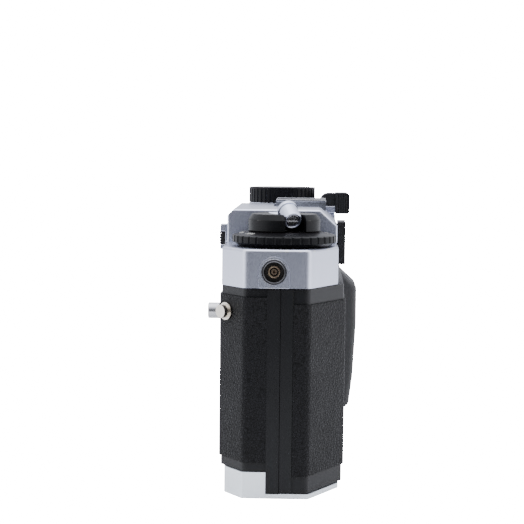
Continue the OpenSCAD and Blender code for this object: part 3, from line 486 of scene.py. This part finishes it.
finishes = {slotName: plan["made"](plan["name"], plan) for slotName, plan in finishSettings.items()}
wornEdges = {}
for slotName, amount in edgeWear.items():
    plan = finishSettings[slotName]
    wornEdges[slotName] = plan["made"](plan["name"] + "Edge", {**plan, "worn": amount})
print("finishes made")


# every CAD node takes its finish, whether it shows or not

for nodeName, nodeObject in frame["nodes"].items():
    nodeObject.data.materials.clear()
    nodeObject.data.materials.append(finishes[slotOfNode[nodeName]])


# ways of working that several pieces share

meshWork = {"weld": 0.000003, "bevelWeld": 0.000002, "flatWithin": 0.4}


def onlySelect(piece):
    bpy.ops.object.select_all(action="DESELECT")
    piece.select_set(True)
    bpy.context.view_layer.objects.active = piece


def mergedCopy(nodeName, pieceName):
    # loose triangles become one skin with whole flat faces
    piece = bpy.data.objects.new(pieceName, frame["nodes"][nodeName].data.copy())
    bpy.context.collection.objects.link(piece)
    slotName = slotOfNode[nodeName]
    piece.data.materials.clear()
    piece.data.materials.append(finishes[slotName])
    piece.data.materials.append(wornEdges.get(slotName, finishes[slotName]))
    onlySelect(piece)
    bpy.ops.mesh.customdata_custom_splitnormals_clear()
    bpy.ops.object.mode_set(mode="EDIT")
    bpy.ops.mesh.select_mode(type="EDGE")
    bpy.ops.mesh.select_all(action="SELECT")
    bpy.ops.mesh.remove_doubles(threshold=meshWork["weld"])
    bpy.ops.mesh.dissolve_limited(angle_limit=math.radians(meshWork["flatWithin"]))
    bpy.ops.object.mode_set(mode="OBJECT")
    return piece


def everyEdge(middle, first, second):
    return True


def selectSharp(piece, sharpness, keep):
    # sharp edges whose middle and ends, in millimetres, pass keep
    onlySelect(piece)
    bpy.ops.object.mode_set(mode="EDIT")
    bpy.ops.mesh.select_mode(type="EDGE")
    bpy.ops.mesh.select_all(action="DESELECT")
    bpy.ops.mesh.edges_select_sharp(sharpness=math.radians(sharpness))
    bpy.ops.object.mode_set(mode="OBJECT")
    mesh = piece.data
    for edge in mesh.edges:
        if edge.select:
            first, second = (mesh.vertices[v].co / mm for v in edge.vertices)
            edge.select = bool(keep((first + second) / 2, first, second))
    for vertex in mesh.vertices:
        vertex.select = False
    for face in mesh.polygons:
        face.select = False
    for edge in mesh.edges:
        if edge.select:
            for v in edge.vertices:
                mesh.vertices[v].select = True
    return sum(edge.select for edge in mesh.edges)


def roundEdges(piece, width, segments=3, sharpness=28, keep=everyEdge, clamp=True):
    if not selectSharp(piece, sharpness, keep):
        print("no edges to round on", piece.name)
        return
    bpy.ops.object.mode_set(mode="EDIT")
    bpy.ops.mesh.bevel(offset=width * mm, offset_type="OFFSET", segments=segments, profile=0.5,
                       affect="EDGES", clamp_overlap=clamp, loop_slide=True, miter_outer="ARC", material=1)
    bpy.ops.mesh.select_all(action="SELECT")
    bpy.ops.mesh.remove_doubles(threshold=meshWork["bevelWeld"])
    bpy.ops.object.mode_set(mode="OBJECT")


def smoothPiece(piece, angle=30):
    onlySelect(piece)
    bpy.ops.object.shade_smooth_by_angle(angle=math.radians(angle))
    bpy.ops.object.modifier_add(type="WEIGHTED_NORMAL")
    piece.modifiers[-1].keep_sharp = True
    bpy.ops.object.modifier_apply(modifier=piece.modifiers[-1].name)


def settle(piece, body, slotName, *hidden, finish=None, angle=30):
    smoothPiece(piece, angle)
    if finish or not piece.data.materials:
        piece.data.materials.clear()
        piece.data.materials.append(finish or finishes[slotName])
    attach(piece, body)
    if hidden:
        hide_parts(*hidden)
    return piece


def softenedNode(nodeName, pieceName, width, segments=3):
    piece = mergedCopy(nodeName, pieceName)
    roundEdges(piece, width, segments)
    return settle(piece, bodyOfNode[nodeName], slotOfNode[nodeName], nodeName)


def turnedPiece(pieceName, profile, centre, steps=64):
    # a profile of (radius, height) in millimetres, drawn point by point and spun about an upright axis
    start = Vector((centre[0] + profile[0][0], centre[1], centre[2] + profile[0][1])) * mm
    bpy.ops.object.select_all(action="DESELECT")
    bpy.ops.mesh.primitive_plane_add(size=0.001, location=start)
    piece = bpy.context.object
    piece.name = pieceName
    bpy.ops.object.transform_apply(location=True, rotation=True, scale=True)
    bpy.ops.object.mode_set(mode="EDIT")
    bpy.ops.mesh.select_mode(type="VERT")
    bpy.ops.mesh.select_all(action="SELECT")
    bpy.ops.mesh.merge(type="CENTER")
    for before, after in zip(profile, profile[1:]):
        step = ((after[0] - before[0]) * mm, 0, (after[1] - before[1]) * mm)
        bpy.ops.mesh.extrude_region_move(TRANSFORM_OT_translate={"value": step})
    bpy.ops.mesh.select_all(action="SELECT")
    bpy.ops.mesh.spin(steps=steps, angle=math.tau, center=Vector(centre) * mm, axis=(0, 0, 1))
    bpy.ops.mesh.select_all(action="SELECT")
    bpy.ops.mesh.remove_doubles(threshold=meshWork["weld"])
    bpy.ops.mesh.normals_make_consistent(inside=False)
    bpy.ops.object.mode_set(mode="OBJECT")
    return piece


def turnPiece(piece, rotation, place):
    # stands the finished piece in place and leaves its object at the origin
    onlySelect(piece)
    piece.rotation_euler = [math.radians(v) for v in rotation]
    piece.location = [v * mm for v in place]
    bpy.ops.object.transform_apply(location=True, rotation=True, scale=True)


def copyPiece(piece, pieceName):
    twin = piece.copy()
    twin.data = piece.data.copy()
    twin.name = pieceName
    bpy.context.collection.objects.link(twin)
    return twin


def joined(pieces, pieceName):
    bpy.ops.object.select_all(action="DESELECT")
    for piece in pieces:
        piece.select_set(True)
    bpy.context.view_layer.objects.active = pieces[0]
    bpy.ops.object.join()
    pieces[0].name = pieceName
    return pieces[0]


def numberRing(pieceName, plan, finish, body):
    # raised figures round a dial, their feet towards its rim
    figures = []
    for i, label in enumerate(plan["labels"]):
        angle = math.radians(plan["start"] + i * plan["step"])
        cx, cy, cz = plan["centre"]
        place = (cx + plan["radius"] * math.cos(angle), cy + plan["radius"] * math.sin(angle), cz)
        bpy.ops.object.select_all(action="DESELECT")
        bpy.ops.object.text_add(location=[v * mm for v in place],
                                rotation=(math.radians(plan["tilt"]), 0, angle + math.pi / 2))
        text = bpy.context.object
        text.data.body = label
        text.data.size = plan["size"] * mm
        text.data.align_x = "CENTER"
        text.data.align_y = "CENTER"
        text.data.extrude = plan["thick"] * mm
        text.data.resolution_u = 3
        bpy.ops.object.convert(target="MESH")
        bpy.ops.object.transform_apply(location=True, rotation=True, scale=True)
        figures.append(bpy.context.object)
    piece = joined(figures, pieceName)
    piece.data.materials.clear()
    piece.data.materials.append(finish)
    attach(piece, body)
    return piece


def cutWithBlock(piece, low, high):
    # takes a rectangular bite, corners in millimetres, out of a closed piece
    size = [(b - a) * mm for a, b in zip(low, high)]
    centre = [(a + b) / 2 * mm for a, b in zip(low, high)]
    bpy.ops.object.select_all(action="DESELECT")
    bpy.ops.mesh.primitive_cube_add(size=1, location=centre, scale=size)
    cutter = bpy.context.object
    bpy.ops.object.transform_apply(location=True, rotation=True, scale=True)
    onlySelect(piece)
    bpy.ops.object.modifier_add(type="BOOLEAN")
    bite = piece.modifiers[-1]
    bite.operation = "DIFFERENCE"
    bite.object = cutter
    bpy.ops.object.modifier_apply(modifier=bite.name)
    bpy.data.objects.remove(cutter)


# body covers, with the broad fillets of pressed and plated metal

topCover = {
    "rim": 0.8, "housing": 0.9, "arch": 0.17, "segments": 4, "deck": 72.7, "rightDeck": 79.0,
    "top": 82.9, "frontLine": -17.9, "rearLine": 15.9, "cornerX": 53, "housingX": -16,
    "archX": 69.2, "angle": 32,
}
baseCover = {"edge": 0.6, "segments": 4, "front": -15, "rear": 14, "end": 48, "angle": 32}
doorEdge = {"edge": 0.45, "segments": 3, "shortest": 3, "angle": 32}


def near(value, target, gap=0.06):
    return abs(value - target) < gap


def buildTopCover():
    piece = mergedCopy("top_cover", "topCoverSkin")
    endX = max(v.co.x for v in piece.data.vertices if v.co.z > (topCover["deck"] + 3) * mm) / mm

    def housingEdge(middle, first, second):
        onTop = near(first.z, topCover["top"]) and near(second.z, topCover["top"])
        onEnd = near(first.x, endX) and near(second.x, endX) and middle.z > topCover["deck"] + 0.1
        outside = middle.y < -16 or middle.y > 9.5 or near(middle.x, endX) or middle.x < -16.5
        corner = middle.y < -17.5 or middle.y > 10.5 or onTop
        return outside and (onTop or (onEnd and corner))

    def pastFrontOrRear(middle):
        return middle.y < topCover["frontLine"] or middle.y > topCover["rearLine"]

    def deckRim(middle, first, second):
        level = near(first.z, second.z) and near(middle.z, topCover["deck"])
        outside = pastFrontOrRear(middle) or abs(middle.x) > topCover["cornerX"]
        return level and outside and middle.x > topCover["housingX"] and not near(middle.x, endX, 0.5)

    def rightRim(middle, first, second):
        level = near(first.z, second.z) and near(middle.z, topCover["rightDeck"])
        return level and (middle.x < -topCover["cornerX"] or pastFrontOrRear(middle))

    def archEdge(middle, first, second):
        return middle.x > topCover["archX"]

    roundEdges(piece, topCover["housing"], topCover["segments"], 20, housingEdge)
    roundEdges(piece, topCover["rim"], topCover["segments"], 40, deckRim, False)
    roundEdges(piece, topCover["rim"], topCover["segments"], 40, rightRim)
    roundEdges(piece, topCover["arch"], 2, 30, archEdge, False)
    return settle(piece, "camera_body", "satin_silver", "top_cover", angle=topCover["angle"])


def buildBaseCover():
    piece = mergedCopy("base_cover", "baseCoverSkin")

    def lowRim(middle, first, second):
        outside = middle.y < baseCover["front"] or middle.y > baseCover["rear"]
        return middle.z < 0.05 and (outside or abs(middle.x) > baseCover["end"])

    roundEdges(piece, baseCover["edge"], baseCover["segments"], 20, lowRim)
    return settle(piece, "camera_body", "base_silver", "base_cover", angle=baseCover["angle"])


def buildDoor():
    piece = mergedCopy("back_door", "filmDoorSkin")

    def outline(middle, first, second):
        return (first - second).length > doorEdge["shortest"] and middle.y > 3

    roundEdges(piece, doorEdge["edge"], doorEdge["segments"], 25, outline)
    return settle(piece, "film_door", slotOfNode["back_door"], "back_door", angle=doorEdge["angle"])


buildTopCover()
buildBaseCover()
buildDoor()
print("covers and door skinned")


# leather and the thumb rest

leatherEdge = {"edge": 0.28, "segments": 3}
thumbRest = {"edge": 1.7, "segments": 5}

for nodeName, pieceName in (("front_leather", "frontLeather"), ("door_leather", "doorLeather")):
    softenedNode(nodeName, pieceName, leatherEdge["edge"], leatherEdge["segments"])
thumbPad = mergedCopy("thumb_rest", "thumbRestPad")
# the pad and its rounded edges both take the lighter grey, painted sheen
thumbPad.data.materials[0] = finishes["thumbRubber"]
thumbPad.data.materials[1] = finishes["thumbRubber"]
roundEdges(thumbPad, thumbRest["edge"], thumbRest["segments"], 9)
settle(thumbPad, "film_door", slotOfNode["thumb_rest"], "thumb_rest", angle=40)
print("leather laid")


# small metal and plastic parts whose edges catch the light

softEdges = {
    "rewind_knob": ("rewindKnobBody", 0.22), "rewind_boss": ("rewindBoss", 0.25),
    "rewind_collar": ("rewindCollar", 0.2), "crank_arm": ("crankArm", 0.25),
    "crank_handle": ("crankHandle", 0.45), "crank_screw": ("crankScrew", 0.12),
    "film_speed_ring": ("filmSpeedRing", 0.14), "dial_collar": ("dialCollar", 0.3),
    "release_button": ("releaseButton", 0.35), "release_bush": ("releaseBush", 0.3),
    "advance_lever": ("advanceLever", 0.3), "lever_cap": ("leverCap", 0.35),
    "selector_plate": ("selectorPlate", 0.18), "selector_grip": ("selectorGrip", 0.14),
    "lens_release_button": ("lensReleaseButton", 0.4), "battery_cap": ("batteryCap", 0.2),
    "rewind_release": ("rewindRelease", 0.3), "pc_shell": ("syncShell", 0.1),
    "strap_lug_near": ("strapLugNear", 0.3), "strap_lug_far": ("strapLugFar", 0.3),
    "lens_mount_ring": ("lensMountRing", 0.25), "base_screws": ("baseScrews", 0.1),
    "pressure_plate": ("pressurePlate", 0.3), "shoe_contact": ("shoeContact", 0.1),
}
for nodeName, (pieceName, width) in softEdges.items():
    softenedNode(nodeName, pieceName, width)
print("edges softened")


# shutter-speed dial: dished top with a bright worn rim, and its figures

shutterDial = {"edge": 0.2, "dish": 0.25, "rim": 1.5}
shutterFigures = {
    "labels": ["1", "2", "4", "8", "15", "30", "60", "125", "250", "500", "1000"],
    "centre": (-30, -2.4, 87.97), "radius": 8.4, "size": 2.3, "thick": 0.03, "start": 0, "step": 30,
    "tilt": 0,
}
speedFigures = {
    "labels": ["25", "50", "100", "200", "400", "800", "1600", "3200"], "centre": (52, 0, 76.68),
    "radius": 12.9, "size": 1.7, "thick": 0.03, "start": 100, "step": 30, "tilt": 12.8,
}
markPaint = coatedFinish("markPaint", {
    "color": (0.72, 0.72, 0.68), "shade": (0.60, 0.60, 0.56), "wear": (0.5, 0.5, 0.46),
    "Metallic": 0.0, "Roughness": 0.5, "spread": 0.05, "grain": 6000, "smudge": 500, "worn": 0.26,
    "depth": 0.00001, "bump": 0.2,
})
redPaint = coatedFinish("redPaint", {
    "color": (0.55, 0.03, 0.02), "shade": (0.42, 0.02, 0.02), "wear": (0.5, 0.2, 0.2),
    "Metallic": 0.0, "Roughness": 0.4, "spread": 0.05, "grain": 6000, "smudge": 500, "worn": 0.26,
    "depth": 0.00001, "bump": 0.2,
})


def buildShutterDial():
    piece = mergedCopy("shutter_dial", "shutterDialBody")
    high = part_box("shutter_dial")[1]
    onlySelect(piece)
    for face in piece.data.polygons:
        face.select = face.normal.z > 0.99 and face.center.z > high.z - 0.0001
    for vertex in piece.data.vertices:
        vertex.select = False
    for edge in piece.data.edges:
        edge.select = False
    bpy.ops.object.mode_set(mode="EDIT")
    bpy.ops.mesh.select_mode(type="FACE")
    bpy.ops.mesh.inset(thickness=shutterDial["rim"] * mm, depth=0)
    bpy.ops.mesh.inset(thickness=0.1 * mm, depth=-shutterDial["dish"] * mm)
    bpy.ops.object.mode_set(mode="OBJECT")
    roundEdges(piece, shutterDial["edge"], 2, 28)
    settle(piece, bodyOfNode["shutter_dial"], slotOfNode["shutter_dial"], "shutter_dial")


buildShutterDial()
numberRing("shutterFigures", shutterFigures, markPaint, "shutter_dial")
numberRing("filmSpeedFigures", speedFigures, markPaint, "film_speed_ring")
print("dials marked")


# sync terminal collar with two key slots

syncCollar = {
    "slotHigh": 0.6, "slotFrom": 3.3, "edge": 0.07,
    "profile": [
        (2.8, -0.35), (2.95, -0.05), (3.1, 0), (3.2, -0.05), (3.3, -0.3), (3.45, -0.3),
        (3.55, -0.03), (3.62, 0), (3.7, -0.1),
    ],
}


def buildSyncCollar():
    low, high = (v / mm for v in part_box("pc_collar"))
    midY, midZ = (low.y + high.y) / 2, (low.z + high.z) / 2
    long = high.x - low.x
    ring = syncCollar["profile"]
    inside, outside = ring[0][0], ring[-1][0]
    profile = [(inside, 0)] + [(r, long + z) for r, z in ring] + [(outside, 0), (inside, 0)]
    piece = turnedPiece("syncCollar", profile, (0, 0, 0), 72)
    turnPiece(piece, (0, 90, 0), (low.x, midY, midZ))
    for side in (-1, 1):
        inner, outer = sorted((midY + side * syncCollar["slotFrom"], midY + side * 4.5))
        cutWithBlock(piece, (high.x - 0.4, inner, midZ - syncCollar["slotHigh"] / 2),
                     (high.x + 0.5, outer, midZ + syncCollar["slotHigh"] / 2))
    # the body takes the darkened nickel, painted shade; its bevelled outer rims take the light nickel with
    # worn patches, partly real wear and partly painted highlight
    piece.data.materials.append(finishes["darkNickel"])
    piece.data.materials.append(wornEdges["nickel"])

    def outerFace(middle, first, second):
        return middle.x > high.x - 0.6

    roundEdges(piece, syncCollar["edge"], 2, 24, outerFace)
    settle(piece, "camera_body", slotOfNode["pc_collar"], "pc_collar")


buildSyncCollar()
print("sync collar turned")


# dark washers round the strap lugs

lugWasher = {
    "profile": [(2.65, 0.02), (2.75, 0.35), (3.5, 0.35), (3.75, 0.02)], "steps": 48,
    "place": (61.1, -16.4, 54),
}

nearWasher = turnedPiece("lugWasherNear", lugWasher["profile"], (0, 0, 0), lugWasher["steps"])
farWasher = copyPiece(nearWasher, "lugWasherFar")
lugX, lugY, lugZ = lugWasher["place"]
turnPiece(nearWasher, (90, 0, 45), (lugX, lugY, lugZ))
turnPiece(farWasher, (90, 0, -45), (-lugX, lugY, lugZ))
settle(nearWasher, "camera_body", "black_anodised")
settle(farWasher, "camera_body", "black_anodised")
print("lugs dressed")


# lever tip with grip grooves, eyepiece with its step, accessory shoe with screws

leverTip = {"edge": 0.35, "grooves": [17.3, 18.1, 18.9, 19.7, 20.4], "wide": 0.24, "deep": 0.3}
eyepiece = {
    "edge": 0.5, "stepAt": 68.0, "stepHigh": 0.22, "stepDeep": 0.3, "ringSunk": 0.42,
    "ring": [(4.5, 0), (4.5, 0.25), (4.75, 0.4), (5.15, 0.4), (5.35, 0.2), (5.35, 0), (4.5, 0)],
}
shoe = {
    "edge": 0.13,
    "screwProfile": [(0, 0.0), (1.15, 0.0), (1.15, 0.06), (0.95, 0.13), (0.5, 0.15), (0, 0.15)],
    "screws": [(-4.5, -1.2), (4.5, -1.2), (-4.5, 9.6), (4.5, 9.6)], "slot": 0.28, "lip": 84.4,
    "lipEnd": 10.3, "floor": 82.35, "slotDepth": 0.06,
}


def buildLeverTip():
    piece = mergedCopy("lever_tip", "leverTip")
    low, high = (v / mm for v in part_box("lever_tip"))
    for y in leverTip["grooves"]:
        cutWithBlock(piece, (high.x - leverTip["deep"], y, low.z - 1),
                     (high.x + 1, y + leverTip["wide"], high.z + 1))

    def awayFromGrooves(middle, first, second):
        return middle.x < high.x - 0.5

    roundEdges(piece, leverTip["edge"], 3, 28, awayFromGrooves)
    settle(piece, "advance_lever", slotOfNode["lever_tip"], "lever_tip")


def buildEyepiece():
    piece = mergedCopy("eyepiece_frame", "eyepieceFrame")
    low, high = (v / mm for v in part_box("eyepiece_frame"))
    cutWithBlock(piece, (low.x - 1, high.y - eyepiece["stepDeep"], eyepiece["stepAt"]),
                 (high.x + 1, high.y + 1, eyepiece["stepAt"] + eyepiece["stepHigh"]))

    def awayFromStep(middle, first, second):
        return not near(middle.z, eyepiece["stepAt"] + 0.1, 0.4)

    roundEdges(piece, eyepiece["edge"], 3, 28, awayFromStep)
    settle(piece, "camera_body", slotOfNode["eyepiece_frame"], "eyepiece_frame")
    lensLow, lensHigh = (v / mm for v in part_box("eyepiece_lens"))
    ring = turnedPiece("eyepieceRing", eyepiece["ring"], (0, 0, 0), 64)
    lensX, lensZ = (lensLow.x + lensHigh.x) / 2, (lensLow.z + lensHigh.z) / 2
    turnPiece(ring, (-90, 0, 0), (lensX, high.y - eyepiece["ringSunk"], lensZ))
    settle(ring, "camera_body", "black_anodised")


def buildShoe():
    piece = mergedCopy("hot_shoe", "accessoryShoe")
    # darkened chrome on the shoe's body is painted shade; near-white chrome on the lip bevels is painted
    # highlight
    piece.data.materials[0] = finishes["shoeChrome"]
    piece.data.materials[1] = finishes["shoeLips"]

    def lipEdge(middle, first, second):
        outside = middle.z > shoe["lip"] - 0.1 and abs(middle.x) > shoe["lipEnd"]
        return middle.z > shoe["lip"] + 0.3 or outside

    roundEdges(piece, shoe["edge"], 2, 28, lipEdge)
    settle(piece, "camera_body", slotOfNode["hot_shoe"], "hot_shoe")
    screw = turnedPiece("shoeScrewMaster", shoe["screwProfile"], (0, 0, 0), 32)
    half = shoe["slot"] / 2
    cutWithBlock(screw, (-2, -half, shoe["slotDepth"]), (2, half, 1))
    for i, (x, y) in enumerate(shoe["screws"]):
        twin = copyPiece(screw, f"shoeScrew{i + 1}")
        turnPiece(twin, (0, 0, 35 + 40 * i), (x, y, shoe["floor"]))
        settle(twin, "camera_body", "bare_steel")
    bpy.data.objects.remove(screw)


buildLeverTip()
buildEyepiece()
buildShoe()
print("tip, eyepiece and shoe built")


# dark frames round the three front windows, and small marks on the front

windowFrame = {
    "panes": ["finder_window", "illumination_window", "rangefinder_window"], "wide": 0.55,
    "thick": 0.45, "edge": 0.12, "gap": 0.02,
}
indexDot = {
    "profile": [(0, 0), (0.9, 0), (0.85, 0.12), (0.5, 0.2), (0, 0.22)], "steps": 32,
    "place": (0, -20.18, 35 + 24.1),
}


def buildWindowFrames():
    gap = windowFrame["gap"]
    for number, pane in enumerate(windowFrame["panes"]):
        low, high = (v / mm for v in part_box(pane))
        front = low.y - gap
        bpy.ops.object.select_all(action="DESELECT")
        bpy.ops.mesh.primitive_cube_add(
            size=1,
            location=[(low.x + high.x) / 2 * mm, (front - windowFrame["thick"] / 2) * mm,
                      (low.z + high.z) / 2 * mm],
            scale=[(high.x - low.x - gap) * mm, windowFrame["thick"] * mm, (high.z - low.z - gap) * mm])
        piece = bpy.context.object
        piece.name = f"windowFrame{number + 1}"
        bpy.ops.object.transform_apply(location=True, rotation=True, scale=True)
        wide = windowFrame["wide"]
        cutWithBlock(piece, (low.x + wide, front - 2, low.z + wide),
                     (high.x - wide, front + 2, high.z - wide))
        piece.data.materials.append(finishes["black_anodised"])
        piece.data.materials.append(wornEdges["black_anodised"])
        roundEdges(piece, windowFrame["edge"], 2, 28)
        settle(piece, "camera_body", "black_anodised")


buildWindowFrames()
mountDot = turnedPiece("mountIndexDot", indexDot["profile"], (0, 0, 0), indexDot["steps"])
turnPiece(mountDot, (90, 0, 0), indexDot["place"])
settle(mountDot, "camera_body", "black_paint", finish=redPaint)
print("windows framed")


# threaded wall of the tripod socket

tripodBush = {"outer": 5.5, "bore": 3.18, "root": 3.5, "high": 7.5, "pitch": 1.27}


def buildTripodBush():
    plan = tripodBush
    profile = [(plan["outer"], 0.0), (plan["outer"], plan["high"]), (plan["bore"], plan["high"])]
    level = plan["high"]
    while level - plan["pitch"] > 0.6:
        profile += [(plan["root"], level - plan["pitch"] * 0.5), (plan["bore"], level - plan["pitch"])]
        level -= plan["pitch"]
    profile += [(plan["bore"], 0.5), (plan["bore"] + 0.45, 0.0), (plan["outer"], 0.0)]
    piece = turnedPiece("tripodBush", profile, (0, 0, 0), 64)
    settle(piece, "camera_body", slotOfNode["tripod_bush"], "tripod_bush")


buildTripodBush()
print("tripod socket threaded")


# figures on the frame counter

counterFigures = {
    "labels": ["0", "4", "8", "12", "16", "20", "24", "28", "32", "36"],
    "centre": (-57.5, -8.5, 77.42), "radius": 3.6, "size": 1.1, "thick": 0.01, "start": 180,
    "step": 36, "tilt": 0,
}
numberRing("counterFigures", counterFigures, markPaint, "counter_disc")
print("small parts done")
